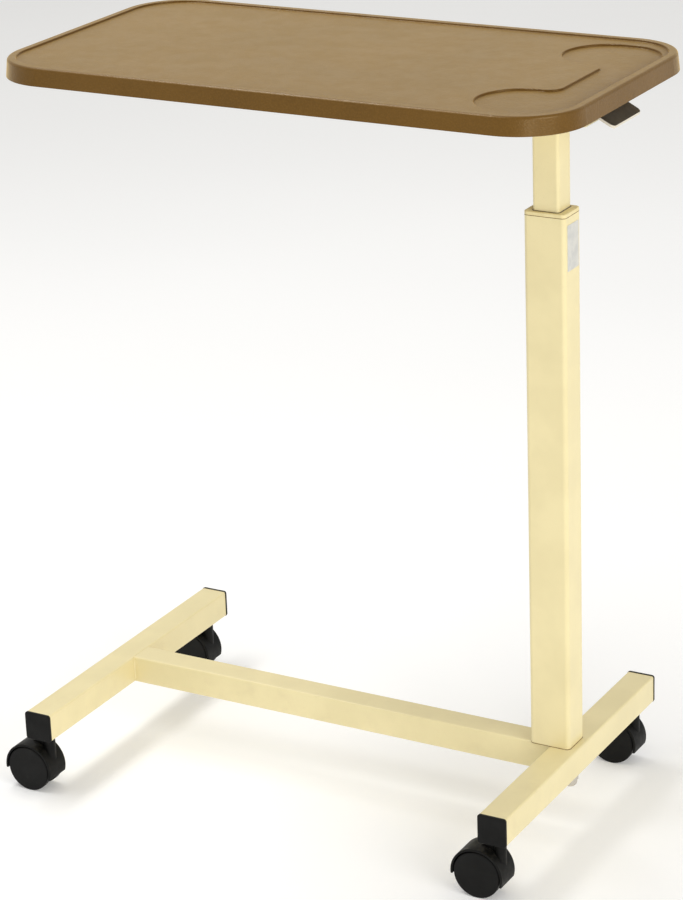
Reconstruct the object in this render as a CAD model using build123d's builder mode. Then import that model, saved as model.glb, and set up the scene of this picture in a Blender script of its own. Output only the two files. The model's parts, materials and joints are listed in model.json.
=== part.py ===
from build123d import *
import math
import os

os.makedirs("parts", exist_ok=True)

# Overbed table: an H-shaped rolling base, a telescopic mast at one end, and a cantilevered
# tray top that a lockable gas spring lifts. All sizes are in millimetres.
#
# The origin is on the floor under the middle of the whole table. +X points from the open
# end to the mast end, +Y to the back and +Z up. The table is symmetric about the XZ plane.

# ---------------------------------------------------------------- driving dimensions
RUN = 0.05                      # radial clearance of a running or a fixed round fit
SLIDE_GAP = 0.3                 # between sliding flat faces, each side

# base frame, all of the same square tube
BAR = 30.0                      # outside width and height of the tube
BAR_WALL = 1.5
BAR_CORNER = 2.0
BAR_BOTTOM = 66.0               # underside of the base above the floor
BAR_TOP = BAR_BOTTOM + BAR
BAR_MIDDLE = BAR_BOTTOM + BAR / 2
LEFT_BAR_X = -277.5
RIGHT_BAR_X = 257.5
BASE_DEPTH = 362.0              # crossbar length over its two end caps
CAP_FLANGE = 3.0
CAP_SIZE = BAR + 1.0            # the flange stands a little proud of the tube
CAP_PLUG = 9.0                  # depth of the cap's plug in the tube
CAP_PLUG_SIZE = BAR - 2 * BAR_WALL - 0.2
BAR_HALF_LENGTH = BASE_DEPTH / 2 - CAP_FLANGE

# twin-wheel casters
CASTER_Y = 161.0                # swivel axes, each side of the middle
CASTER_TRAIL = 20.5             # axle behind the swivel axis
WHEEL_RADIUS = 25.0
WHEEL_INNER_Y = 6.4             # inner face of each wheel, from the caster's middle
WHEEL_OUTER_Y = 14.6
WHEEL_FACE = 2.5                # thickness of the wheel's closed outer disc
WHEEL_RIM = 5.0
WHEEL_HUB_RADIUS = 7.0
HOOD_RADIUS = 28.5
HOOD_HALF_WIDTH = 15.0
HOOD_WALL = 2.2
HOOD_CUT_TRAILING = 22.0        # the hood's lower edge above the floor, at the trailing end
HOOD_CUT_LEADING = 17.0         # and at the end under the stem
HOOD_TOP = BAR_BOTTOM - 2.0     # top of the boss that the stem turns in
WEB_HALF = 2.5
BOSS_HALF = 6.0
STEM_BORE_BOTTOM = HOOD_TOP - 26.0
AXLE_RADIUS = 3.0
AXLE_HALF = 12.0
STEM_RADIUS = 4.0
STEM_BOTTOM = STEM_BORE_BOTTOM + 2.0
STEM_TOP = BAR_TOP - 6.0
STEM_COLLAR_BOTTOM = HOOD_TOP + SLIDE_GAP
STEM_COLLAR_RADIUS = 7.0        # over the hexagon's corners
SOCKET_RADIUS = 7.0

# mast
MAST_X = 243.0
MAST_WIDTH = 44.0               # along X
MAST_DEPTH = 36.0               # along Y
MAST_WALL = 2.0
MAST_CORNER = 4.5
MAST_INSIDE = (MAST_WIDTH - 2 * MAST_WALL, MAST_DEPTH - 2 * MAST_WALL)
COLLAR_TOP = 661.0
COLLAR_FLANGE = 4.0
COLLAR_SLEEVE = 40.0
MAST_TUBE_TOP = COLLAR_TOP - COLLAR_FLANGE
INNER = 28.0                    # inner tube, square
INNER_WALL = 1.5
INNER_CORNER = 3.0
INNER_BOTTOM = 285.0
INNER_TOP = 753.0
GLIDE_FLOOR = 7.0               # the glide reaches this far below the inner tube
GLIDE_HEIGHT = 30.0

# fixing of the mast on the base
FOOT_THICKNESS = 10.0
FOOT_TOP = BAR_TOP + FOOT_THICKNESS
STUD_X = (231.5, 257.5)         # one stud through the spar, one through the crossbar
STUD_RADIUS = 5.0
STUD_HOLE_RADIUS = 5.5
SPACER_RADIUS = 8.0
WASHER_RADIUS = 10.0
WASHER = 2.0
NUT_HEX = 8.0                   # height of the nut's hexagon
NUT_DOME = 9.6                  # height of its dome
NUT_DOME_RADIUS = 7.5
NUT_ACROSS_FLATS = 16.0
NUT_TOP = BAR_BOTTOM - WASHER
STUD_BOTTOM = NUT_TOP - NUT_HEX - 1.5

# blank label on the mast
LABEL_WIDTH = 25.0
LABEL_HEIGHT = 46.0
LABEL_MIDDLE = 626.0
LABEL_FILM = 0.3

# gas spring inside the mast
CYLINDER_RADIUS = 11.0
CYLINDER_BORE = 9.8
CYLINDER_BASE = 8.0
CYLINDER_GUIDE = 12.0           # rod guide and seal at the top of the cylinder
CYLINDER_BOTTOM = 120.0
CYLINDER_TOP = 548.0
ROD_RADIUS = 5.0
ROD_BOTTOM = 270.0
ROD_TOP = 761.5
PISTON_HEIGHT = 16.0
PIN_RADIUS = 2.0
PIN_BOTTOM = 713.0
PIN_TOP = 767.0
SPRING_NUT_FLATS = 17.0

# tray top
TOP_X = 14.5                    # middle of the tray
TOP_LENGTH = 620.0
TOP_WIDTH = 325.0
TOP_CORNER = 62.0
LIP_TOP = 793.0
LIP_WIDTH = 9.0
LIP_ROUND = 3.0                 # rounding of the tray's outer top edge
TRAY_FACE = 791.0               # the surface that things stand on
TRAY_THICKNESS = 3.0
TRAY_UNDER = TRAY_FACE - TRAY_THICKNESS
SKIRT_BOTTOM = 775.0
SKIRT_DRAFT = 2.0               # the skirt leans out this much from top to bottom
SKIRT_WALL = 3.0
SKIRT_HEIGHT = LIP_TOP - SKIRT_BOTTOM
DRAFT_ANGLE = math.degrees(math.atan(SKIRT_DRAFT / SKIRT_HEIGHT))
POCKET_EDGE = 0.9               # rounding along the lip and around the recess
RIB_BOTTOM = 782.0
RIB_WIDTH = 2.0
RIB_PITCH = 60.0
RIB_COLUMNS = 11
RIB_ROWS = 5

# shallow recess at the mast end of the tray: two round cups and the strip between them
RECESS_DEPTH = 2.2
CUP_X = 257.0
CUP_Y = 95.0
CUP_RADIUS = 42.5
CUP_EDGE = CUP_Y + CUP_RADIUS   # the recess reaches this far to the front and back
RECESS_WALL_X = 275.0           # straight wall between the cups
RECESS_RIGHT = 312.5
RECESS_CORNER = 44.0
RECESS_BLEND = 14.0             # rounding where a cup runs into the straight wall

# steel frame under the tray
RAIL = 20.0
RAIL_WALL = 1.5
RAIL_CORNER = 2.0
RAIL_Y = 46.0
RAIL_TOP = 779.0
RAIL_MIDDLE_Z = RAIL_TOP - RAIL / 2
RAIL_LEFT = -166.5
RAIL_RIGHT = 298.5
CROSS_RAIL_X = -116.5
PLUG_FLANGE = 2.0
PLUG_DEPTH = 7.0
BRACKET_LEFT = 203.5
BRACKET_RIGHT = 293.5
BRACKET_HALF = RAIL_Y - RAIL / 2
PLATE = 3.0
SCREW_X = (-146.5, 63.5, 283.5)
SCREW_RADIUS = 2.2
SCREW_TIP = 784.0
SCREW_HEAD = 2.5
SCREW_HEAD_RADIUS = 4.2
BOSS_RADIUS = 6.0

# release lever
LEVER_PIVOT_X = 265.5
LEVER_Z = 768.5                 # middle of the lever plate and height of its pivot
LEVER_PLATE = 2.5
LEVER_HALF_WIDTH = 32.0
LEVER_BEND_X = 297.0
PADDLE_END = (322.5, 755.2)     # middle of the paddle's outer edge, x and z
ARM_LEFT = 234.5                # end of the inner arm, past the release pin
ARM_HALF_WIDTH = 9.0
SHOULDER_X = 256.5              # the lever widens to its full width here
KNUCKLE_RADIUS = 5.0
LEVER_PIN_RADIUS = 3.0


# ---------------------------------------------------------------- helpers
def save(piece, name):
    """Label a finished piece and write it as its own STEP file."""
    piece.part.label = name
    export_step(piece.part, f"parts/{name}.step")


def tube_section(width, height, wall, corner):
    """A hollow rectangular section with rounded corners, in the current sketch."""
    RectangleRounded(width, height, corner)
    RectangleRounded(width - 2 * wall, height - 2 * wall, max(corner - wall, 0.5), mode=Mode.SUBTRACT)


def side_name(bar_x, side):
    """front_left, back_right and so on."""
    depth = "front" if side < 0 else "back"
    end = "left" if bar_x < 0 else "right"
    return f"{depth}_{end}"


# ---------------------------------------------------------------- base frame
def build_crossbar(bar_x):
    """A base tube along Y, with a socket hole near each end of its underside."""
    with BuildPart() as crossbar:
        with BuildSketch(Plane.XZ.offset(-BAR_HALF_LENGTH)):
            with Locations((bar_x, BAR_MIDDLE)):
                tube_section(BAR, BAR, BAR_WALL, BAR_CORNER)
        extrude(amount=2 * BAR_HALF_LENGTH)
        with BuildSketch(Plane.XY.offset(BAR_BOTTOM)):
            with Locations((bar_x, -CASTER_Y), (bar_x, CASTER_Y)):
                Circle(SOCKET_RADIUS)
        extrude(amount=2 * BAR_WALL, mode=Mode.SUBTRACT)
        if bar_x == STUD_X[1]:
            with BuildSketch(Plane.XY.offset(BAR_BOTTOM)):
                with Locations((bar_x, 0)):
                    Circle(STUD_HOLE_RADIUS)
            extrude(amount=BAR, mode=Mode.SUBTRACT)
    return crossbar


left_crossbar = build_crossbar(LEFT_BAR_X)
save(left_crossbar, "left_crossbar")
right_crossbar = build_crossbar(RIGHT_BAR_X)
save(right_crossbar, "right_crossbar")

SPAR_START = LEFT_BAR_X + BAR / 2
SPAR_END = RIGHT_BAR_X - BAR / 2

with BuildPart() as spar:
    with BuildSketch(Plane.YZ.offset(SPAR_START)):
        with Locations((0, BAR_MIDDLE)):
            tube_section(BAR, BAR, BAR_WALL, BAR_CORNER)
    extrude(amount=SPAR_END - SPAR_START)
    with BuildSketch(Plane.XY.offset(BAR_BOTTOM)):
        with Locations((STUD_X[0], 0)):
            Circle(STUD_HOLE_RADIUS)
    extrude(amount=BAR, mode=Mode.SUBTRACT)
save(spar, "spar")


def build_end_cap(bar_x, side):
    """A plastic cap that plugs one end of a crossbar: a rounded flange and a hollow plug."""
    tube_end = Plane.XZ.offset(-side * BAR_HALF_LENGTH)
    with BuildPart() as end_cap:
        with BuildSketch(tube_end):
            with Locations((bar_x, BAR_MIDDLE)):
                RectangleRounded(CAP_SIZE, CAP_SIZE, 3.0)
        extrude(amount=-side * CAP_FLANGE)
        outer_face = end_cap.faces().sort_by(Axis.Y)[-1 if side > 0 else 0]
        fillet(outer_face.edges(), radius=1.0)
        with BuildSketch(tube_end):
            with Locations((bar_x, BAR_MIDDLE)):
                tube_section(CAP_PLUG_SIZE, CAP_PLUG_SIZE, 2.0, 1.0)
        extrude(amount=side * CAP_PLUG)
    return end_cap


# ---------------------------------------------------------------- casters
def build_stem_socket(bar_x, side):
    """The threaded steel sleeve, welded in the crossbar, that a caster's stem screws into."""
    with BuildPart() as socket:
        with BuildSketch(Plane.XY.offset(BAR_BOTTOM)):
            with Locations((bar_x, side * CASTER_Y)):
                Circle(SOCKET_RADIUS - RUN)
                Circle(STEM_RADIUS + RUN, mode=Mode.SUBTRACT)
        extrude(amount=BAR - BAR_WALL)
    return socket


def build_caster_stem(bar_x, side):
    """The stem: screwed in the socket, with a hexagon collar, and the hood's swivel pin below."""
    centre = (bar_x, side * CASTER_Y)
    with BuildPart() as stem:
        with BuildSketch(Plane.XY.offset(STEM_BOTTOM)):
            with Locations(centre):
                Circle(STEM_RADIUS)
        extrude(amount=STEM_TOP - STEM_BOTTOM)
        chamfer(stem.edges().filter_by(GeomType.CIRCLE), length=0.8)
        with BuildSketch(Plane.XY.offset(STEM_COLLAR_BOTTOM)):
            with Locations(centre):
                RegularPolygon(STEM_COLLAR_RADIUS, 6)
        extrude(amount=BAR_BOTTOM - STEM_COLLAR_BOTTOM)
    return stem


def under_hood(axle_x):
    """Corners of the region below the hood's sloping lower edge, x and z."""
    trailing_x = axle_x - HOOD_RADIUS
    leading_x = axle_x + HOOD_RADIUS
    return [
        (trailing_x, HOOD_CUT_TRAILING),
        (leading_x, HOOD_CUT_LEADING),
        (leading_x, -HOOD_RADIUS),
        (trailing_x, -HOOD_RADIUS),
    ]


def build_caster_hood(bar_x, side):
    """The hood: a half-round shell over both wheels, a middle web, an axle boss, a stem boss."""
    axle_x = bar_x - CASTER_TRAIL
    caster_y = side * CASTER_Y
    middle = Plane.XZ.offset(-caster_y)
    with BuildPart() as hood:
        # the shell and the web have the same round outline, cut off below the axle
        with BuildSketch(middle):
            with Locations((axle_x, WHEEL_RADIUS)):
                Circle(HOOD_RADIUS)
                Circle(HOOD_RADIUS - HOOD_WALL, mode=Mode.SUBTRACT)
            with BuildLine():
                Polyline(*under_hood(axle_x), close=True)
            make_face(mode=Mode.SUBTRACT)
        extrude(amount=HOOD_HALF_WIDTH, both=True)
        rims = hood.edges().filter_by(GeomType.CIRCLE).filter_by(lambda e: e.radius > HOOD_RADIUS - 0.1)
        fillet(rims, radius=0.9)
        with BuildSketch(middle):
            with Locations((axle_x, WHEEL_RADIUS)):
                Circle(HOOD_RADIUS - HOOD_WALL / 2)
            with BuildLine():
                Polyline(*under_hood(axle_x), close=True)
            make_face(mode=Mode.SUBTRACT)
        extrude(amount=WEB_HALF, both=True)
        # gusset from the hood's crest up to the stem boss
        with BuildSketch(middle):
            with BuildLine():
                Polyline(
                    (axle_x, WHEEL_RADIUS + HOOD_RADIUS - HOOD_WALL),
                    (axle_x, WHEEL_RADIUS + HOOD_RADIUS),
                    (bar_x, HOOD_TOP),
                    (bar_x, WHEEL_RADIUS + BOSS_HALF),
                    close=True,
                )
            make_face()
        extrude(amount=WEB_HALF, both=True)
        with BuildSketch(middle):
            with Locations((axle_x, WHEEL_RADIUS)):
                Circle(BOSS_HALF)
        extrude(amount=BOSS_HALF, both=True)
        with BuildSketch(Plane.XY.offset(STEM_BORE_BOTTOM - 3.0)):
            with Locations((bar_x, caster_y)):
                Circle(BOSS_HALF)
        extrude(amount=HOOD_TOP - STEM_BORE_BOTTOM + 3.0)
        # bores for the stem and the axle
        with BuildSketch(Plane.XY.offset(STEM_BORE_BOTTOM)):
            with Locations((bar_x, caster_y)):
                Circle(STEM_RADIUS + RUN)
        extrude(amount=HOOD_TOP, mode=Mode.SUBTRACT)
        with BuildSketch(middle):
            with Locations((axle_x, WHEEL_RADIUS)):
                Circle(AXLE_RADIUS + RUN)
        extrude(amount=2 * BOSS_HALF, both=True, mode=Mode.SUBTRACT)
    return hood


def build_caster_axle(bar_x, side):
    """The steel axle that both wheels turn on."""
    with BuildPart() as axle:
        with BuildSketch(Plane.XZ.offset(-side * CASTER_Y)):
            with Locations((bar_x - CASTER_TRAIL, WHEEL_RADIUS)):
                Circle(AXLE_RADIUS)
        extrude(amount=AXLE_HALF, both=True)
        chamfer(axle.edges().filter_by(GeomType.CIRCLE), length=0.5)
    return axle


def build_caster_wheel(bar_x, side, turn):
    """One wheel, a cup with a hub: turn is -1 for the wheel nearer the front, 1 for the other."""
    axle_x = bar_x - CASTER_TRAIL
    caster_y = side * CASTER_Y
    outer_y = caster_y + turn * WHEEL_OUTER_Y
    width = WHEEL_OUTER_Y - WHEEL_INNER_Y
    face_plane = Plane.XZ.offset(-outer_y)
    inner_plane = Plane.XZ.offset(-(caster_y + turn * WHEEL_INNER_Y))
    with BuildPart() as wheel:
        with BuildSketch(face_plane):
            with Locations((axle_x, WHEEL_RADIUS)):
                Circle(WHEEL_RADIUS)
        extrude(amount=turn * width)
        fillet(wheel.edges().filter_by(GeomType.CIRCLE), radius=1.5)
        with BuildSketch(inner_plane):
            with Locations((axle_x, WHEEL_RADIUS)):
                Circle(WHEEL_RADIUS - WHEEL_RIM)
                Circle(WHEEL_HUB_RADIUS, mode=Mode.SUBTRACT)
        extrude(amount=-turn * (width - WHEEL_FACE), mode=Mode.SUBTRACT)
        with BuildSketch(inner_plane):
            with Locations((axle_x, WHEEL_RADIUS)):
                Circle(AXLE_RADIUS + RUN)
        extrude(amount=-turn * (AXLE_HALF - WHEEL_INNER_Y + 0.5), mode=Mode.SUBTRACT)
    return wheel


for bar_x in (LEFT_BAR_X, RIGHT_BAR_X):
    for side in (-1, 1):
        place = side_name(bar_x, side)
        save(build_end_cap(bar_x, side), f"{place}_end_cap")
        save(build_stem_socket(bar_x, side), f"{place}_stem_socket")
        save(build_caster_stem(bar_x, side), f"{place}_caster_stem")
        save(build_caster_hood(bar_x, side), f"{place}_caster_hood")
        save(build_caster_axle(bar_x, side), f"{place}_caster_axle")
        save(build_caster_wheel(bar_x, side, side), f"{place}_wheel_outer")
        save(build_caster_wheel(bar_x, side, -side), f"{place}_wheel_inner")

# ---------------------------------------------------------------- outer mast and its fixing
with BuildPart() as mast_outer:
    with BuildSketch(Plane.XY.offset(BAR_TOP)):
        with Locations((MAST_X, 0)):
            tube_section(MAST_WIDTH, MAST_DEPTH, MAST_WALL, MAST_CORNER)
    extrude(amount=MAST_TUBE_TOP - BAR_TOP)
save(mast_outer, "mast_outer")

with BuildPart() as mast_collar:
    # flange that caps the outer tube
    with BuildSketch(Plane.XY.offset(MAST_TUBE_TOP)):
        with Locations((MAST_X, 0)):
            RectangleRounded(MAST_WIDTH, MAST_DEPTH, MAST_CORNER)
    extrude(amount=COLLAR_FLANGE)
    fillet(mast_collar.faces().sort_by(Axis.Z)[-1].edges(), radius=1.0)
    # guide sleeve inside the outer tube
    with BuildSketch(Plane.XY.offset(MAST_TUBE_TOP)):
        with Locations((MAST_X, 0)):
            RectangleRounded(MAST_INSIDE[0] - 0.2, MAST_INSIDE[1] - 0.2, MAST_CORNER - MAST_WALL)
    extrude(amount=-COLLAR_SLEEVE)
    # square opening that the inner tube slides through
    with BuildSketch(Plane.XY.offset(MAST_TUBE_TOP - COLLAR_SLEEVE)):
        with Locations((MAST_X, 0)):
            RectangleRounded(INNER + 2 * SLIDE_GAP, INNER + 2 * SLIDE_GAP, INNER_CORNER + SLIDE_GAP)
    extrude(amount=COLLAR_SLEEVE + COLLAR_FLANGE, mode=Mode.SUBTRACT)
save(mast_collar, "mast_collar")

with BuildPart() as mast_foot:
    with BuildSketch(Plane.XY.offset(BAR_TOP)):
        with Locations((MAST_X, 0)):
            RectangleRounded(MAST_INSIDE[0] - 0.2, MAST_INSIDE[1] - 0.2, MAST_CORNER - MAST_WALL)
            Circle(ROD_RADIUS + RUN, mode=Mode.SUBTRACT)
        with Locations((STUD_X[0], 0), (STUD_X[1], 0)):
            Circle(STUD_RADIUS + RUN, mode=Mode.SUBTRACT)
    extrude(amount=FOOT_THICKNESS)
save(mast_foot, "mast_foot")

with BuildPart() as mast_studs:
    with BuildSketch(Plane.XY.offset(STUD_BOTTOM)):
        with Locations((STUD_X[0], 0), (STUD_X[1], 0)):
            Circle(STUD_RADIUS)
    extrude(amount=FOOT_TOP - STUD_BOTTOM)
save(mast_studs, "mast_studs")

# sleeves inside the tubes, so that the studs can be tightened without crushing them
with BuildPart() as stud_spacers:
    with BuildSketch(Plane.XY.offset(BAR_BOTTOM + BAR_WALL)):
        with Locations((STUD_X[0], 0), (STUD_X[1], 0)):
            Circle(SPACER_RADIUS)
            Circle(STUD_HOLE_RADIUS, mode=Mode.SUBTRACT)
    extrude(amount=BAR - 2 * BAR_WALL)
save(stud_spacers, "stud_spacers")

with BuildPart() as stud_washers:
    with BuildSketch(Plane.XY.offset(NUT_TOP)):
        with Locations((STUD_X[0], 0), (STUD_X[1], 0)):
            Circle(WASHER_RADIUS)
            Circle(STUD_HOLE_RADIUS, mode=Mode.SUBTRACT)
    extrude(amount=WASHER)
save(stud_washers, "stud_washers")

with BuildPart() as stud_nuts:
    with BuildSketch(Plane.XY.offset(NUT_TOP)):
        with Locations((STUD_X[0], 0), (STUD_X[1], 0)):
            RegularPolygon(NUT_ACROSS_FLATS / 2, 6, major_radius=False)
    extrude(amount=-NUT_HEX)
    with BuildSketch(Plane.XY.offset(NUT_TOP - NUT_HEX)):
        with Locations((STUD_X[0], 0), (STUD_X[1], 0)):
            Circle(NUT_DOME_RADIUS)
    extrude(amount=-NUT_DOME)
    fillet(stud_nuts.faces().group_by(Axis.Z)[0].edges(), radius=NUT_DOME_RADIUS - 1.0)
    with BuildSketch(Plane.XY.offset(NUT_TOP)):
        with Locations((STUD_X[0], 0), (STUD_X[1], 0)):
            Circle(STUD_RADIUS + RUN)
    extrude(amount=-(NUT_TOP - STUD_BOTTOM) - 0.5, mode=Mode.SUBTRACT)
save(stud_nuts, "stud_nuts")

with BuildPart() as blank_label:
    with BuildSketch(Plane.YZ.offset(MAST_X + MAST_WIDTH / 2)):
        with Locations((0, LABEL_MIDDLE)):
            RectangleRounded(LABEL_WIDTH, LABEL_HEIGHT, 1.0)
    extrude(amount=LABEL_FILM)
save(blank_label, "blank_label")

# ---------------------------------------------------------------- gas spring
with BuildPart() as gas_spring_cylinder:
    with BuildSketch(Plane.XY.offset(CYLINDER_BOTTOM)):
        with Locations((MAST_X, 0)):
            Circle(CYLINDER_RADIUS)
    extrude(amount=CYLINDER_TOP - CYLINDER_BOTTOM)
    fillet(gas_spring_cylinder.edges().filter_by(GeomType.CIRCLE), radius=1.5)
    # pressure chamber
    with BuildSketch(Plane.XY.offset(CYLINDER_BOTTOM + CYLINDER_BASE)):
        with Locations((MAST_X, 0)):
            Circle(CYLINDER_BORE)
    extrude(amount=CYLINDER_TOP - CYLINDER_BOTTOM - CYLINDER_BASE - CYLINDER_GUIDE, mode=Mode.SUBTRACT)
    # rod bore in the guide
    with BuildSketch(Plane.XY.offset(CYLINDER_TOP)):
        with Locations((MAST_X, 0)):
            Circle(ROD_RADIUS + RUN)
    extrude(amount=-2 * CYLINDER_GUIDE, mode=Mode.SUBTRACT)
    # threaded end that screws into the mast foot
    with BuildSketch(Plane.XY.offset(BAR_TOP + 0.5)):
        with Locations((MAST_X, 0)):
            Circle(ROD_RADIUS)
    extrude(amount=CYLINDER_BOTTOM - BAR_TOP)
save(gas_spring_cylinder, "gas_spring_cylinder")


def build_hex_nut(bottom, height):
    """A hexagon nut around the mast's axis."""
    with BuildPart() as nut:
        with BuildSketch(Plane.XY.offset(bottom)):
            with Locations((MAST_X, 0)):
                RegularPolygon(SPRING_NUT_FLATS / 2, 6, major_radius=False)
                Circle(ROD_RADIUS + RUN, mode=Mode.SUBTRACT)
        extrude(amount=height)
    return nut


save(build_hex_nut(FOOT_TOP, 8.0), "spring_lock_nut")
save(build_hex_nut(INNER_TOP + PLATE, 5.0), "rod_nut")

with BuildPart() as gas_spring_rod:
    with BuildSketch(Plane.XY.offset(ROD_BOTTOM)):
        with Locations((MAST_X, 0)):
            Circle(ROD_RADIUS)
    extrude(amount=ROD_TOP - ROD_BOTTOM)
    # guide bore of the release pin
    with BuildSketch(Plane.XY.offset(ROD_TOP)):
        with Locations((MAST_X, 0)):
            Circle(PIN_RADIUS + 2 * RUN)
    extrude(amount=-(ROD_TOP - PIN_BOTTOM) - 5.0, mode=Mode.SUBTRACT)
save(gas_spring_rod, "gas_spring_rod")

with BuildPart() as gas_spring_piston:
    with BuildSketch(Plane.XY.offset(ROD_BOTTOM + 2.0)):
        with Locations((MAST_X, 0)):
            Circle(CYLINDER_BORE - SLIDE_GAP)
            Circle(ROD_RADIUS + RUN, mode=Mode.SUBTRACT)
    extrude(amount=PISTON_HEIGHT)
save(gas_spring_piston, "gas_spring_piston")

with BuildPart() as release_pin:
    with BuildSketch(Plane.XY.offset(PIN_BOTTOM)):
        with Locations((MAST_X, 0)):
            Circle(PIN_RADIUS)
    extrude(amount=PIN_TOP - PIN_BOTTOM)
    fillet(release_pin.edges().sort_by(Axis.Z)[-1], radius=0.5)
save(release_pin, "release_pin")

# ---------------------------------------------------------------- inner mast
with BuildPart() as mast_inner:
    with BuildSketch(Plane.XY.offset(INNER_BOTTOM)):
        with Locations((MAST_X, 0)):
            tube_section(INNER, INNER, INNER_WALL, INNER_CORNER)
    extrude(amount=INNER_TOP - INNER_BOTTOM)
save(mast_inner, "mast_inner")

with BuildPart() as lower_glide:
    with BuildSketch(Plane.XY.offset(INNER_BOTTOM - GLIDE_FLOOR)):
        with Locations((MAST_X, 0)):
            RectangleRounded(MAST_INSIDE[0] - 2 * SLIDE_GAP, MAST_INSIDE[1] - 2 * SLIDE_GAP, 2.2)
            Circle(CYLINDER_RADIUS + 0.5, mode=Mode.SUBTRACT)
    extrude(amount=GLIDE_HEIGHT)
    # pocket that holds the end of the inner tube
    with BuildSketch(Plane.XY.offset(INNER_BOTTOM)):
        with Locations((MAST_X, 0)):
            RectangleRounded(INNER + 0.2, INNER + 0.2, INNER_CORNER)
    extrude(amount=GLIDE_HEIGHT, mode=Mode.SUBTRACT)
save(lower_glide, "lower_glide")

# ---------------------------------------------------------------- frame under the tray
with BuildPart() as head_bracket:
    with BuildSketch(Plane.YZ.offset(BRACKET_LEFT)):
        with BuildLine():
            FilletPolyline(
                (-BRACKET_HALF + PLATE / 2, RAIL_TOP),
                (-BRACKET_HALF + PLATE / 2, INNER_TOP + PLATE / 2),
                (BRACKET_HALF - PLATE / 2, INNER_TOP + PLATE / 2),
                (BRACKET_HALF - PLATE / 2, RAIL_TOP),
                radius=4.0,
            )
        trace(line_width=PLATE)
        with Locations((0, RAIL_TOP)):
            Rectangle(3 * BRACKET_HALF, 10.0, align=(Align.CENTER, Align.MIN), mode=Mode.SUBTRACT)
    extrude(amount=BRACKET_RIGHT - BRACKET_LEFT)
    with BuildSketch(Plane.XY.offset(INNER_TOP)):
        with Locations((MAST_X, 0)):
            Circle(ROD_RADIUS + RUN)
    extrude(amount=PLATE, mode=Mode.SUBTRACT)
    with BuildSketch(Plane.XZ):
        with Locations((LEVER_PIVOT_X, LEVER_Z)):
            Circle(LEVER_PIN_RADIUS + RUN)
    extrude(amount=2 * BRACKET_HALF, both=True, mode=Mode.SUBTRACT)
save(head_bracket, "head_bracket")


def build_rail(side):
    """A square steel tube along X that carries the tray, with screw holes through it."""
    with BuildPart() as rail:
        with BuildSketch(Plane.YZ.offset(RAIL_LEFT)):
            with Locations((side * RAIL_Y, RAIL_MIDDLE_Z)):
                tube_section(RAIL, RAIL, RAIL_WALL, RAIL_CORNER)
        extrude(amount=RAIL_RIGHT - RAIL_LEFT)
        with BuildSketch(Plane.XY.offset(RAIL_TOP)):
            with Locations(*[(x, side * RAIL_Y) for x in SCREW_X]):
                Circle(SCREW_RADIUS + 0.3)
        extrude(amount=-RAIL, mode=Mode.SUBTRACT)
    return rail


save(build_rail(-1), "front_rail")
save(build_rail(1), "back_rail")

with BuildPart() as cross_rail:
    with BuildSketch(Plane.XZ.offset(-BRACKET_HALF)):
        with Locations((CROSS_RAIL_X, RAIL_MIDDLE_Z)):
            tube_section(RAIL, RAIL, RAIL_WALL, RAIL_CORNER)
    extrude(amount=2 * BRACKET_HALF)
save(cross_rail, "cross_rail")

with BuildPart() as rail_plugs:
    for rail_end, outward in ((RAIL_LEFT, -1), (RAIL_RIGHT, 1)):
        with BuildSketch(Plane.YZ.offset(rail_end)):
            with Locations((-RAIL_Y, RAIL_MIDDLE_Z), (RAIL_Y, RAIL_MIDDLE_Z)):
                RectangleRounded(RAIL, RAIL, RAIL_CORNER)
        extrude(amount=outward * PLUG_FLANGE)
        with BuildSketch(Plane.YZ.offset(rail_end)):
            with Locations((-RAIL_Y, RAIL_MIDDLE_Z), (RAIL_Y, RAIL_MIDDLE_Z)):
                RectangleRounded(RAIL - 2 * RAIL_WALL - 0.2, RAIL - 2 * RAIL_WALL - 0.2, 1.0)
        extrude(amount=-outward * PLUG_DEPTH)
save(rail_plugs, "rail_plugs")

# ---------------------------------------------------------------- tray top
def recess_outline():
    """The shallow recess: two round cups joined along the mast end, in the current sketch."""
    with Locations((RECESS_RIGHT, 0)):
        Rectangle(
            RECESS_RIGHT - CUP_X,
            2 * CUP_EDGE,
            align=(Align.MAX, Align.CENTER),
        )
    with Locations((CUP_X, 0)):
        Rectangle(
            RECESS_WALL_X - CUP_X,
            2 * CUP_Y,
            align=(Align.MIN, Align.CENTER),
            mode=Mode.SUBTRACT,
        )
    with Locations((CUP_X, -CUP_Y), (CUP_X, CUP_Y)):
        Circle(CUP_RADIUS)


def screw_places():
    """Where the six screws hold the tray on the rails."""
    return [(x, side * RAIL_Y) for x in SCREW_X for side in (-1, 1)]


def on_wall(vertex):
    """True at the two corners where a cup runs into the straight wall."""
    return abs(vertex.X - RECESS_WALL_X) < 0.1 and abs(vertex.Y) < CUP_Y


def on_right_corner(vertex):
    """True at the recess's two outer corners."""
    return abs(vertex.X - RECESS_RIGHT) < 0.1


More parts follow.
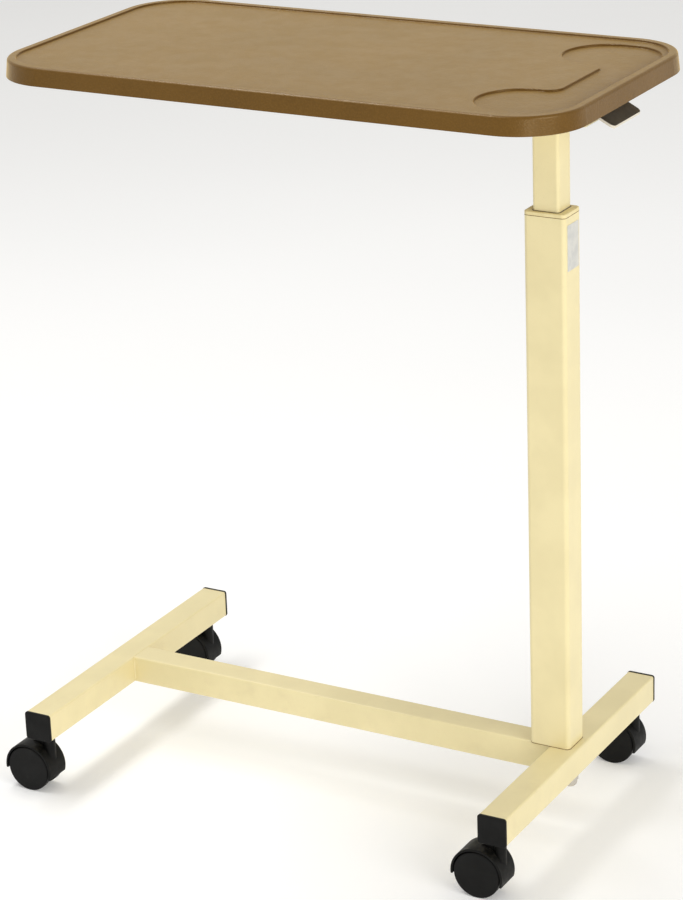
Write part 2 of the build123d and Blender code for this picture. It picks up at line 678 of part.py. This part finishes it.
with BuildPart() as tabletop:
    # solid tray with a leaning skirt and a rounded outer edge
    with BuildSketch(Plane.XY.offset(SKIRT_BOTTOM)):
        with Locations((TOP_X, 0)):
            RectangleRounded(TOP_LENGTH + 2 * SKIRT_DRAFT, TOP_WIDTH + 2 * SKIRT_DRAFT, TOP_CORNER + SKIRT_DRAFT)
    extrude(amount=SKIRT_HEIGHT, taper=DRAFT_ANGLE)
    fillet(tabletop.faces().sort_by(Axis.Z)[-1].edges(), radius=LIP_ROUND)
    # sunk tray face inside the raised lip
    with BuildSketch(Plane.XY.offset(LIP_TOP)):
        with Locations((TOP_X, 0)):
            RectangleRounded(TOP_LENGTH - 2 * LIP_WIDTH, TOP_WIDTH - 2 * LIP_WIDTH, TOP_CORNER - LIP_WIDTH)
    extrude(amount=TRAY_FACE - LIP_TOP, mode=Mode.SUBTRACT)
    # cup recess in the tray face
    with BuildSketch(Plane.XY.offset(TRAY_FACE)) as recess:
        recess_outline()
        fillet(recess.vertices().filter_by(on_wall), radius=RECESS_BLEND)
        fillet(recess.vertices().filter_by(on_right_corner), radius=RECESS_CORNER)
    extrude(amount=-RECESS_DEPTH, mode=Mode.SUBTRACT)
    crests = tabletop.faces().filter_by(Axis.Z).filter_by(lambda f: abs(f.center().Z - LIP_TOP) < 0.01)
    fillet(crests.sort_by(Axis.Z)[-1].inner_wires()[0].edges(), radius=POCKET_EDGE)
    sunk = tabletop.faces().filter_by(Axis.Z).filter_by(lambda f: abs(f.center().Z - TRAY_FACE) < 0.01)
    fillet(sunk[0].edges(), radius=POCKET_EDGE)
    floor = tabletop.faces().filter_by(Axis.Z).filter_by(
        lambda f: abs(f.center().Z - TRAY_FACE + RECESS_DEPTH) < 0.01
    )
    fillet(floor[0].edges(), radius=POCKET_EDGE)
    # hollow underside, but for a pad that keeps the recess's floor thick
    inset = SKIRT_WALL - SKIRT_DRAFT
    with BuildSketch(Plane.XY.offset(SKIRT_BOTTOM)):
        with Locations((TOP_X, 0)):
            RectangleRounded(TOP_LENGTH - 2 * inset, TOP_WIDTH - 2 * inset, TOP_CORNER - inset)
    extrude(amount=TRAY_UNDER - SKIRT_BOTTOM, taper=DRAFT_ANGLE, mode=Mode.SUBTRACT)
    with BuildSketch(Plane.XY.offset(TRAY_UNDER - RECESS_DEPTH)):
        with Locations((TOP_X, 0)):
            RectangleRounded(TOP_LENGTH - 2 * LIP_WIDTH, TOP_WIDTH - 2 * LIP_WIDTH, TOP_CORNER - LIP_WIDTH)
        with Locations((CUP_X - CUP_RADIUS - SKIRT_WALL, 0)):
            Rectangle(TOP_LENGTH, TOP_WIDTH, align=(Align.MAX, Align.CENTER), mode=Mode.SUBTRACT)
    extrude(amount=RECESS_DEPTH)
    # stiffening ribs
    with BuildSketch(Plane.XY.offset(RIB_BOTTOM)):
        with Locations((TOP_X, 0)):
            with GridLocations(RIB_PITCH, 0, RIB_COLUMNS, 1):
                Rectangle(RIB_WIDTH, TOP_WIDTH)
            with GridLocations(0, RIB_PITCH, 1, RIB_ROWS):
                Rectangle(TOP_LENGTH, RIB_WIDTH)
            RectangleRounded(
                TOP_LENGTH - SKIRT_WALL,
                TOP_WIDTH - SKIRT_WALL,
                TOP_CORNER - SKIRT_WALL / 2,
                mode=Mode.INTERSECT,
            )
    extrude(amount=TRAY_UNDER - RIB_BOTTOM)
    # screw bosses that stand on the rails
    with BuildSketch(Plane.XY.offset(RAIL_TOP)):
        with Locations(*screw_places()):
            Circle(BOSS_RADIUS)
    extrude(amount=TRAY_UNDER - RAIL_TOP)
    with BuildSketch(Plane.XY.offset(RAIL_TOP)):
        with Locations(*screw_places()):
            Circle(SCREW_RADIUS + RUN)
    extrude(amount=SCREW_TIP - RAIL_TOP + 0.5, mode=Mode.SUBTRACT)
save(tabletop, "tabletop")

with BuildPart() as top_screws:
    with BuildSketch(Plane.XY.offset(RAIL_TOP - RAIL)):
        with Locations(*screw_places()):
            Circle(SCREW_HEAD_RADIUS)
    extrude(amount=-SCREW_HEAD)
    fillet(top_screws.edges().group_by(Axis.Z)[0], radius=1.2)
    with BuildSketch(Plane.XY.offset(RAIL_TOP - RAIL)):
        with Locations(*screw_places()):
            Circle(SCREW_RADIUS)
    extrude(amount=SCREW_TIP - RAIL_TOP + RAIL)
save(top_screws, "top_screws")

# ---------------------------------------------------------------- release lever
with BuildPart() as release_lever:
    # bent plate, seen from the side
    with BuildSketch(Plane.XZ):
        with BuildLine():
            FilletPolyline((ARM_LEFT - 5.0, LEVER_Z), (LEVER_BEND_X, LEVER_Z), PADDLE_END, radius=6.0)
        trace(line_width=LEVER_PLATE)
    extrude(amount=LEVER_HALF_WIDTH, both=True)
    with BuildSketch(Plane.XZ):
        with Locations((LEVER_PIVOT_X, LEVER_Z)):
            Circle(KNUCKLE_RADIUS)
    extrude(amount=LEVER_HALF_WIDTH, both=True)
    # its outline, seen from above
    with BuildSketch(Plane.XY.offset(LEVER_Z - 20.0)) as plan:
        with Locations((SHOULDER_X, 0)):
            Rectangle(PADDLE_END[0] - SHOULDER_X, 2 * LEVER_HALF_WIDTH, align=(Align.MIN, Align.CENTER))
        fillet(plan.vertices(), radius=5.0)
        with Locations((ARM_LEFT, 0)):
            Rectangle(SHOULDER_X - ARM_LEFT + 5.0, 2 * ARM_HALF_WIDTH, align=(Align.MIN, Align.CENTER))
        fillet(plan.vertices().filter_by(lambda v: v.X < ARM_LEFT + 0.1), radius=4.0)
    extrude(amount=40.0, mode=Mode.INTERSECT)
    with BuildSketch(Plane.XZ):
        with Locations((LEVER_PIVOT_X, LEVER_Z)):
            Circle(LEVER_PIN_RADIUS + RUN)
    extrude(amount=2 * LEVER_HALF_WIDTH, both=True, mode=Mode.SUBTRACT)
save(release_lever, "release_lever")

with BuildPart() as lever_pin:
    with BuildSketch(Plane.XZ):
        with Locations((LEVER_PIVOT_X, LEVER_Z)):
            Circle(LEVER_PIN_RADIUS)
    extrude(amount=BRACKET_HALF - 0.2, both=True)
save(lever_pin, "lever_pin")
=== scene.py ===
"""Overbed table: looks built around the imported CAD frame. Lengths are in metres."""

import json
import math

import bmesh
import bpy
from mathutils import Matrix, Vector


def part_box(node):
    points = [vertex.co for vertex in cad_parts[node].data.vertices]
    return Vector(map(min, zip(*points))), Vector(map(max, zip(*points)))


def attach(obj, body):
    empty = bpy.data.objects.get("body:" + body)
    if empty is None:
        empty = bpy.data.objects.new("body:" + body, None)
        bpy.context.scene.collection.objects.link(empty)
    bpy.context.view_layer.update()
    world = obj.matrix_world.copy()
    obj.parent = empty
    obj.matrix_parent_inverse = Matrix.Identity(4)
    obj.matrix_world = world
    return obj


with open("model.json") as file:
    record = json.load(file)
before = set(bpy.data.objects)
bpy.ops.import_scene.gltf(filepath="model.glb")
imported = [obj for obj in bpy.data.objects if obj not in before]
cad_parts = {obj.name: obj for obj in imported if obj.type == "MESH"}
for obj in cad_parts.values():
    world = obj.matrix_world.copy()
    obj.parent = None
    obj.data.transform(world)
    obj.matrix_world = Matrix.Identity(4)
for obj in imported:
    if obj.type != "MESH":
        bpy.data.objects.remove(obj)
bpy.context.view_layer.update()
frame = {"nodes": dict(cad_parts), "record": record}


# ---------------------------------------------------------------- materials
def rgb(r, g, b):
    """A screen colour, 0 to 255, as a linear colour."""
    linear = []
    for value in (r, g, b):
        c = value / 255
        linear.append(c / 12.92 if c <= 0.04045 else ((c + 0.055) / 1.055) ** 2.4)
    return (*linear, 1.0)


class Shader:
    """A Principled material built from layers of procedural texture in the piece's own frame."""

    def __init__(self, name, **settings):
        self.material = bpy.data.materials.new(name)
        self.material.use_nodes = True
        self.nodes = self.material.node_tree.nodes
        self.links = self.material.node_tree.links
        self.shader = self.nodes["Principled BSDF"]
        self.place = self.nodes.new("ShaderNodeTexCoord")
        self.normal = None
        self.colour = None
        for socket, value in settings.items():
            self.shader.inputs[socket.replace("_", " ")].default_value = value

    def link(self, source, target):
        self.links.new(source, target)

    def stretched(self, stretch):
        """Texture coordinates, scaled apart along x, y and z."""
        node = self.nodes.new("ShaderNodeMapping")
        node.inputs["Scale"].default_value = stretch
        self.link(self.place.outputs["Object"], node.inputs["Vector"])
        return node.outputs["Vector"]

    def noise(self, size, detail=4.0, rough=0.55, stretch=(1, 1, 1), distortion=0.0):
        """Noise whose blobs are about size metres across."""
        node = self.nodes.new("ShaderNodeTexNoise")
        node.inputs["Scale"].default_value = 1.0 / size
        node.inputs["Detail"].default_value = detail
        node.inputs["Roughness"].default_value = rough
        node.inputs["Distortion"].default_value = distortion
        self.link(self.stretched(stretch), node.inputs["Vector"])
        return node.outputs["Fac"]

    def cells(self, size, smooth=0.6, randomness=1.0):
        """Rounded cells about size metres across, as the pebbles of a moulded grain."""
        node = self.nodes.new("ShaderNodeTexVoronoi")
        node.feature = "SMOOTH_F1"
        node.inputs["Scale"].default_value = 1.0 / size
        node.inputs["Smoothness"].default_value = smooth
        node.inputs["Randomness"].default_value = randomness
        self.link(self.place.outputs["Object"], node.inputs["Vector"])
        return node.outputs["Distance"]

    def ramp(self, value, low, high, out_low=0.0, out_high=1.0):
        """value from low..high, clamped, to out_low..out_high."""
        node = self.nodes.new("ShaderNodeMapRange")
        node.interpolation_type = "SMOOTHSTEP"
        node.inputs["From Min"].default_value = low
        node.inputs["From Max"].default_value = high
        node.inputs["To Min"].default_value = out_low
        node.inputs["To Max"].default_value = out_high
        self.link(value, node.inputs["Value"])
        return node.outputs["Result"]

    def times(self, a, b):
        node = self.nodes.new("ShaderNodeMath")
        node.operation = "MULTIPLY"
        self.link(a, node.inputs[0])
        self.link(b, node.inputs[1])
        return node.outputs["Value"]

    def axis(self, letter, of_normal=False):
        """One coordinate of the point, or of its normal, in the piece's own frame."""
        node = self.nodes.new("ShaderNodeSeparateXYZ")
        self.link(self.place.outputs["Normal" if of_normal else "Object"], node.inputs["Vector"])
        return node.outputs[letter]

    def paint(self, mask, under, over):
        """Colour: under where mask is 0, or what is painted already if it is None, and over where it is 1."""
        node = self.nodes.new("ShaderNodeMix")
        node.data_type = "RGBA"
        self.link(mask, node.inputs["Factor"])
        if under is None:
            self.link(self.colour, node.inputs["A"])
        else:
            node.inputs["A"].default_value = under
        node.inputs["B"].default_value = over
        self.colour = node.outputs["Result"]
        self.link(self.colour, self.shader.inputs["Base Color"])

    def roughness(self, value):
        self.link(value, self.shader.inputs["Roughness"])

    def bump(self, height, depth, strength=1.0):
        """Relief depth metres deep, on top of the relief that is there already."""
        node = self.nodes.new("ShaderNodeBump")
        node.inputs["Distance"].default_value = depth
        node.inputs["Strength"].default_value = strength
        self.link(height, node.inputs["Height"])
        if self.normal is not None:
            self.link(self.normal, node.inputs["Normal"])
        self.normal = node.outputs["Normal"]
        self.link(self.normal, self.shader.inputs["Normal"])


def powder_coat():
    """Cream powder coat: orange peel, cloudy tint, scuffs low on the base, and cloudy darkening towards the
    bottom.
    """
    s = Shader("cream_powder_coat", Coat_Weight=0.25, Coat_Roughness=0.22, Specular_IOR_Level=0.5)
    s.paint(s.ramp(s.noise(0.06, 3), 0.35, 0.65), rgb(233, 219, 168), rgb(239, 225, 174))
    s.paint(s.ramp(s.noise(0.0012, 2), 0.60, 0.74, 0.0, 0.10), None, rgb(190, 168, 120))
    # Cloudy darkening towards the bottom, in patches of noise.
    low = s.ramp(s.axis("Z"), 0.14, 0.06, 0.0, 0.22)
    s.paint(s.times(low, s.ramp(s.noise(0.035, 6, 0.65), 0.52, 0.72)), None, rgb(208, 190, 146))
    scuff = s.ramp(s.noise(0.02, 8, 0.7, (0.25, 1.0, 1.0), 0.6), 0.68, 0.71, 0.0, 0.22)
    s.paint(s.times(scuff, s.ramp(s.axis("Z"), 0.16, 0.10)), None, rgb(170, 150, 112))
    s.roughness(s.ramp(s.noise(0.03, 5), 0.3, 0.7, 0.30, 0.42))
    s.bump(s.noise(0.0022, 2, 0.5), 0.00007)
    s.bump(s.noise(0.0006, 1, 0.5), 0.00002)
    return s.material


def cream_plastic():
    """Moulded cream plastic of the mast's collar: satin, with a fine spark texture."""
    s = Shader("cream_moulding", Specular_IOR_Level=0.5)
    s.paint(s.ramp(s.noise(0.02, 4), 0.35, 0.65), rgb(228, 211, 155), rgb(238, 223, 170))
    s.paint(s.ramp(s.noise(0.0009, 2), 0.60, 0.72, 0.0, 0.15), None, rgb(180, 155, 104))
    s.roughness(s.ramp(s.noise(0.006, 4), 0.3, 0.7, 0.38, 0.50))
    s.bump(s.noise(0.0007, 2, 0.6), 0.00004)
    return s.material


def tray_plastic():
    """Brown moulded tray: pebble grain, cloudy wear and faint wiping marks."""
    s = Shader("tray_pebble_brown", Specular_IOR_Level=0.50, Sheen_Weight=0.95, Sheen_Roughness=0.30)
    s.shader.inputs["Sheen Tint"].default_value = rgb(255, 218, 138)
    s.shader.inputs["Specular Tint"].default_value = rgb(255, 232, 190)
    s.paint(s.ramp(s.noise(0.09, 4), 0.3, 0.7), rgb(93, 64, 18), rgb(101, 70, 21))
    s.paint(s.ramp(s.cells(0.0017), 0.20, 0.62, 0.30, 0.0), None, rgb(118, 84, 33))
    s.paint(s.ramp(s.noise(0.0014, 3, 0.6), 0.60, 0.75, 0.0, 0.35), None, rgb(84, 58, 22))
    wiped = s.ramp(s.noise(0.05, 7, 0.62, (0.4, 1.3, 1.0), 0.8), 0.55, 0.75, 0.0, 0.16)
    s.paint(wiped, None, rgb(130, 100, 54))
    s.roughness(s.ramp(s.noise(0.02, 6, 0.6), 0.3, 0.7, 0.28, 0.36))
    s.bump(s.cells(0.0016), 0.00016, 0.8)
    s.bump(s.noise(0.0007, 3, 0.6), 0.00006, 0.6)
    return s.material


def black_plastic(name, grain, gloss):
    """Satin black moulding: fine spark texture, greyish rub marks and a little dust on what faces up."""
    s = Shader(name, Specular_IOR_Level=0.14)
    s.paint(s.ramp(s.noise(0.02, 4), 0.35, 0.7), rgb(13, 13, 12), rgb(20, 20, 19))
    rub = s.ramp(s.noise(0.012, 8, 0.7, (1, 1, 0.4), 0.5), 0.60, 0.70, 0.0, 0.30)
    s.paint(rub, None, rgb(44, 43, 40))
    dust = s.times(s.ramp(s.axis("Z", True), 0.4, 1.0), s.ramp(s.noise(0.004, 5, 0.7), 0.45, 0.70, 0.0, 0.35))
    s.paint(dust, None, rgb(74, 71, 64))
    s.roughness(s.ramp(s.noise(0.008, 5), 0.3, 0.7, gloss, gloss + 0.14))
    s.bump(s.noise(grain, 2, 0.6), 0.00005)
    return s.material


def metal(name, colour_a, colour_b, rough, scratch=(1, 1, 0.15)):
    """Bare metal with directional scratches, a cloudy tint and small pits."""
    s = Shader(name, Metallic=1.0)
    s.paint(s.ramp(s.noise(0.008, 5, 0.6), 0.3, 0.7), colour_a, colour_b)
    s.paint(s.ramp(s.noise(0.002, 3, 0.6), 0.62, 0.76, 0.0, 0.30), None, rgb(120, 112, 100))
    s.roughness(s.ramp(s.noise(0.003, 6, 0.65, scratch), 0.3, 0.7, rough, rough + 0.18))
    s.bump(s.noise(0.0012, 4, 0.6, scratch), 0.00002)
    return s.material


def lever_lacquer():
    """Dark grey lacquer on the release lever, chipped, with a painted highlight along the paddle's cut edges.
    """
    s = Shader("lever_lacquer", Specular_IOR_Level=0.5, Coat_Weight=0.3, Coat_Roughness=0.25)
    s.paint(s.ramp(s.noise(0.02, 5), 0.3, 0.7), rgb(70, 65, 56), rgb(84, 79, 69))
    s.paint(s.ramp(s.noise(0.004, 6, 0.7), 0.64, 0.72, 0.0, 0.35), None, rgb(128, 121, 106))
    # Painted highlight: a pale colour on the paddle's cut edges, the faces that are not flat, stands in for
    # the light they catch.
    upright = s.axis("Z", of_normal=True)
    painted_highlight_edge = s.ramp(s.times(upright, upright), 0.35, 0.50, 1.0, 0.0)
    paddle_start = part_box("lever_pin")[1].x + 0.024
    on_paddle = s.ramp(s.axis("X"), paddle_start, paddle_start + 0.002)
    s.paint(s.times(painted_highlight_edge, on_paddle), None, rgb(218, 210, 193))
    s.roughness(s.ramp(s.noise(0.006, 5), 0.3, 0.7, 0.30, 0.46))
    s.bump(s.noise(0.0011, 3, 0.6), 0.00005)
    return s.material


def label_film():
    """Blank silver film with a fine brushed streak and a little yellowing."""
    s = Shader("label_film", Metallic=0.35, Specular_IOR_Level=0.5)
    s.paint(s.ramp(s.noise(0.01, 4), 0.3, 0.7), rgb(208, 208, 204), rgb(222, 221, 214))
    s.paint(s.ramp(s.noise(0.0011, 4, 0.6, (1, 6, 0.3)), 0.5, 0.75, 0.0, 0.25), None, rgb(168, 168, 164))
    s.roughness(s.ramp(s.noise(0.004, 4), 0.3, 0.7, 0.30, 0.42))
    s.bump(s.noise(0.0009, 3, 0.5, (1, 6, 0.3)), 0.00001)
    return s.material


def nylon():
    """Natural nylon of the glide inside the mast."""
    s = Shader("glide_nylon", Subsurface_Weight=0.1, Subsurface_Scale=0.002)
    s.paint(s.ramp(s.noise(0.01, 4), 0.3, 0.7), rgb(222, 218, 205), rgb(236, 232, 220))
    s.roughness(s.ramp(s.noise(0.004, 4), 0.3, 0.7, 0.42, 0.55))
    s.bump(s.noise(0.0008, 2), 0.00003)
    return s.material


def floor_paint():
    """Plain pale studio floor with a barely visible tone."""
    s = Shader("studio_floor")
    s.paint(s.ramp(s.noise(1.5, 2), 0.3, 0.7), (0.90, 0.90, 0.895, 1), (0.93, 0.93, 0.925, 1))
    s.shader.inputs["Roughness"].default_value = 0.85
    s.shader.inputs["Emission Color"].default_value = (1, 1, 1, 1)
    s.shader.inputs["Emission Strength"].default_value = 0.14
    s.bump(s.noise(0.01, 2), 0.00005)
    return s.material


MATERIALS = {
    "cream_coat": powder_coat(),
    "cream_plastic": cream_plastic(),
    "tray_plastic": tray_plastic(),
    "black_plastic": black_plastic("black_moulding", 0.0008, 0.42),
    "wheel_plastic": black_plastic("wheel_moulding", 0.0011, 0.36),
    "zinc_steel": metal("zinc_plated_steel", rgb(196, 190, 180), rgb(216, 210, 200), 0.28),
    "chrome_rod": metal("hard_chrome", rgb(214, 214, 216), rgb(226, 226, 228), 0.08),
    "cylinder_black": black_plastic("cylinder_enamel", 0.0009, 0.28),
    "glide_nylon": nylon(),
    "lever_grey": lever_lacquer(),
    "label_film": label_film(),
}
SLOT_OF = {part["node"]: part["material_slot"] for part in frame["record"]["subparts"]}

for node_name, node in frame["nodes"].items():
    node.data.materials.clear()
    node.data.materials.append(MATERIALS[SLOT_OF[node_name]])


# ---------------------------------------------------------------- mesh helpers
def rounded_rectangle(width, depth, corner, segments=10):
    """Points of a rounded rectangle about the origin, anticlockwise from the right front corner."""
    points = []
    for index, (sx, sy) in enumerate(((1, -1), (1, 1), (-1, 1), (-1, -1))):
        start = math.radians(-90 + 90 * index)
        for step in range(segments + 1):
            angle = start + math.pi / 2 * step / segments
            x = sx * (width / 2 - corner) + corner * math.cos(angle)
            y = sy * (depth / 2 - corner) + corner * math.sin(angle)
            points.append((x, y))
    return points


def new_piece(name, mesh, material, body):
    """Makes an object of a finished mesh, and rides it on its body."""
    mesh.name = name
    piece = bpy.data.objects.new(name, mesh)
    bpy.context.scene.collection.objects.link(piece)
    mesh.materials.append(material)
    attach(piece, body)
    return piece


def finish_mesh(work, sharp=35):
    """A bmesh turned into a mesh: outward normals, smooth but for its sharp edges."""
    bmesh.ops.recalc_face_normals(work, faces=work.faces)
    mesh = bpy.data.meshes.new("work")
    work.to_mesh(mesh)
    work.free()
    mesh.shade_smooth()
    mesh.set_sharp_from_angle(angle=math.radians(sharp))
    return mesh


def add_loft(work, rings, close_start=True, close_end=True):
    """Skins rings of points, all with the same count, and closes the ends with flat faces."""
    loops = [[work.verts.new(p) for p in ring] for ring in rings]
    count = len(loops[0])
    for a, b in zip(loops, loops[1:]):
        for i in range(count):
            j = (i + 1) % count
            work.faces.new((a[i], a[j], b[j], b[i]))
    if close_start:
        work.faces.new(list(reversed(loops[0])))
    if close_end:
        work.faces.new(loops[-1])
    return loops


def ring_mesh(node, corner, profile):
    """A closed ring round a rectangular tube: profile is (distance out from its faces, height z)."""
    low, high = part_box(node)
    middle = (low + high) / 2
    work = bmesh.new()
    rings = []
    for grow, z in profile:
        shape = rounded_rectangle(high.x - low.x + 2 * grow, high.y - low.y + 2 * grow, corner + grow)
        rings.append([(middle.x + x, middle.y + y, z) for x, y in shape])
    rings.append(rings[0])
    add_loft(work, rings, False, False)
    bmesh.ops.remove_doubles(work, verts=work.verts, dist=1e-7)
    return finish_mesh(work, 40)


# ---------------------------------------------------------------- weld beads
WELD_RADIUS = 0.0012
WELD_END_GAP = 0.003            # the bead stops this far short of the spar's corners
WELD_PROUD = 0.0002
RIPPLE_PITCH = 0.0032


def weld_bead(name, points, radius, body):
    """A painted fillet weld: a rippled bead that follows a line of joints between faces."""
    work = bmesh.new()
    path = [Vector(p) for p in points]
    lengths = [0.0]
    for a, b in zip(path, path[1:]):
        lengths.append(lengths[-1] + (b - a).length)
    rings = []
    count = max(8, int(lengths[-1] / 0.0011))
    for step in range(count + 1):
        at = lengths[-1] * step / count
        leg = max(i for i in range(len(path) - 1) if lengths[i] <= at + 1e-9)
        way = path[leg + 1] - path[leg]
        here = path[leg] + way * ((at - lengths[leg]) / way.length)
        side = way.normalized().orthogonal().normalized()
        other = way.normalized().cross(side)
        ripple = 1.0 + 0.16 * math.cos(at * 2 * math.pi / RIPPLE_PITCH) + 0.06 * math.sin(at * 900)
        fade = min(1.0, 0.35 + 10 * min(step, count - step) / count)
        size = radius * ripple * fade
        ring = []
        for corner in range(12):
            angle = 2 * math.pi * corner / 12
            ring.append(here + side * math.cos(angle) * size + other * math.sin(angle) * size)
        rings.append(ring)
    add_loft(work, rings)
    return new_piece(name, finish_mesh(work, 60), MATERIALS["cream_coat"], body)


for bar, outward in (("left_crossbar", 1), ("right_crossbar", -1)):
    low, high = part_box(bar)
    spar_low, spar_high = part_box("spar")
    joint_x = high.x if outward > 0 else low.x
    joint_x += WELD_PROUD * outward
    for edge, y in (("front", spar_low.y), ("back", spar_high.y)):
        line = [(joint_x, y, spar_low.z + WELD_END_GAP), (joint_x, y, spar_high.z - WELD_END_GAP)]
        weld_bead(f"{bar}_weld_{edge}", line, WELD_RADIUS, "base")
    left_end = (joint_x, spar_low.y + WELD_END_GAP, spar_low.z)
    right_end = (joint_x, spar_high.y - WELD_END_GAP, spar_low.z)
    weld_bead(f"{bar}_weld_under", [left_end, right_end], WELD_RADIUS, "base")


# ---------------------------------------------------------------- seams: painted shadow lines with some dirt
SEAM_HEIGHT = 0.0006
SEAM_INSET = 0.0004
TUBE_CORNER = 0.0045


def shadow_seam_ring(name, z, outset):
    """A thin brown ring round the mast's outer tube where two parts meet, slightly proud of its faces: a
    painted shadow line, with some dirt in the joint.
    """
    below, above = z - SEAM_HEIGHT / 2, z + SEAM_HEIGHT / 2
    profile = ((-SEAM_INSET, below), (outset, below), (outset, above), (-SEAM_INSET, above))
    mesh = ring_mesh("mast_outer", TUBE_CORNER, profile)
    return new_piece(name, mesh, shadow_seam_material, "base")


def seam_brown():
    """Brown shadow line with settled dirt, darker and lighter along its length."""
    s = Shader("seam_brown", Specular_IOR_Level=0.3)
    s.paint(s.ramp(s.noise(0.006, 5, 0.6), 0.35, 0.65), rgb(112, 86, 46), rgb(150, 122, 74))
    s.roughness(s.ramp(s.noise(0.002, 3), 0.3, 0.7, 0.55, 0.75))
    s.bump(s.noise(0.0008, 3), 0.00003)
    return s.material


shadow_seam_material = seam_brown()
tube_low, tube_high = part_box("mast_outer")
# Painted shade: brown rings at the collar joint and the mast's foot stand in for the shadow lines there.
shadow_seam_ring("collar_shadow_seam", tube_high.z, 0.00008)
shadow_seam_ring("mast_foot_shadow_seam", tube_low.z + SEAM_HEIGHT / 2, 0.00025)

WIPER_GAP = 0.00012             # clearance to the sliding tube
WIPER_DEPTH = 0.0008            # how far it reaches down into the collar
WIPER_RISE = 0.0005             # how far it stands above the collar


def wiper():
    """Dark felt wiper round the opening of the collar, just clear of the sliding inner tube; its dark colour
    also paints the shadow line in the gap.
    """
    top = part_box("mast_collar")[1].z
    profile = (
        (WIPER_GAP, top - WIPER_DEPTH),
        (0.0010, top - WIPER_DEPTH),
        (0.0010, top + 0.00015),
        (0.0007, top + WIPER_RISE),
        (WIPER_GAP, top + WIPER_RISE),
    )
    mesh = ring_mesh("mast_inner", 0.003, profile)
    felt = Shader("wiper_felt_shadow", Specular_IOR_Level=0.2, Sheen_Weight=0.3)
    # Dark felt colour, which is also painted shade: the shadow line in the gap round the sliding tube.
    felt.paint(felt.ramp(felt.noise(0.0012, 5, 0.7), 0.35, 0.65), rgb(72, 58, 38), rgb(104, 86, 58))
    felt.roughness(felt.ramp(felt.noise(0.002, 3), 0.3, 0.7, 0.8, 0.95))
    felt.bump(felt.noise(0.0005, 4, 0.7), 0.0001)
    return new_piece("collar_wiper_shadow_line", mesh, felt.material, "base")


wiper()

# ---------------------------------------------------------------- studio
floor_mesh = bpy.data.meshes.new("studio_floor")
grid = bmesh.new()
bmesh.ops.create_grid(grid, x_segments=24, y_segments=24, size=14.0)
grid.to_mesh(floor_mesh)
grid.free()
floor_object = bpy.data.objects.new("studio_floor", floor_mesh)
floor_mesh.materials.append(floor_paint())
bpy.context.scene.collection.objects.link(floor_object)

world = bpy.data.worlds.new("studio_world")
world.use_nodes = True
world.node_tree.nodes["Background"].inputs["Color"].default_value = (1.0, 0.99, 0.97, 1)
world.node_tree.nodes["Background"].inputs["Strength"].default_value = 0.60
bpy.context.scene.world = world


def softbox(name, place, target, size, watts, colour=(1, 1, 1)):
    """A large rectangular light that points at target."""
    data = bpy.data.lights.new(name, "AREA")
    data.shape = "RECTANGLE"
    data.size, data.size_y = size
    data.energy = watts
    data.color = colour
    light = bpy.data.objects.new(name, data)
    light.location = place
    light.rotation_euler = (Vector(target) - Vector(place)).to_track_quat("-Z", "Y").to_euler()
    bpy.context.scene.collection.objects.link(light)


softbox("key_right", (2.8, -1.2, 1.7), (0.1, 0, 0.4), (1.8, 1.8), 36, (1.0, 0.98, 0.94))
softbox("fill_front", (2.0, -2.5, 0.55), (0.1, 0, 0.55), (0.6, 0.6), 8)
softbox("overhead", (-1.15, -0.15, 2.9), (0.1, 0, 0.7), (2.6, 0.6), 38)


def place_camera():
    """The camera at the photograph's viewing angle."""
    yaw, pitch, roll = (math.radians(a) for a in (29.7985, -20.5802, -2.0870))
    forward = Vector((-math.sin(yaw) * math.cos(pitch), math.cos(yaw) * math.cos(pitch), math.sin(pitch)))
    right = Vector((math.cos(yaw), math.sin(yaw), 0))
    up = right.cross(forward)
    side = right * math.cos(roll) + up * math.sin(roll)
    top = up * math.cos(roll) - right * math.sin(roll)
    data = bpy.data.cameras.new("camera")
    data.sensor_width = 36.0
    data.sensor_fit = "AUTO"
    data.lens = 118.414
    data.shift_x = -0.00364
    data.shift_y = -0.02154
    data.clip_end = 100
    camera = bpy.data.objects.new("camera", data)
    turn = Matrix((side, top, -forward)).transposed().to_4x4()
    camera.matrix_world = Matrix.Translation((1.41732, -2.46417, 1.46357)) @ turn
    bpy.context.scene.collection.objects.link(camera)
    bpy.context.scene.camera = camera


place_camera()
bpy.context.scene.view_settings.view_transform = "Standard"
bpy.context.scene.view_settings.look = "None"
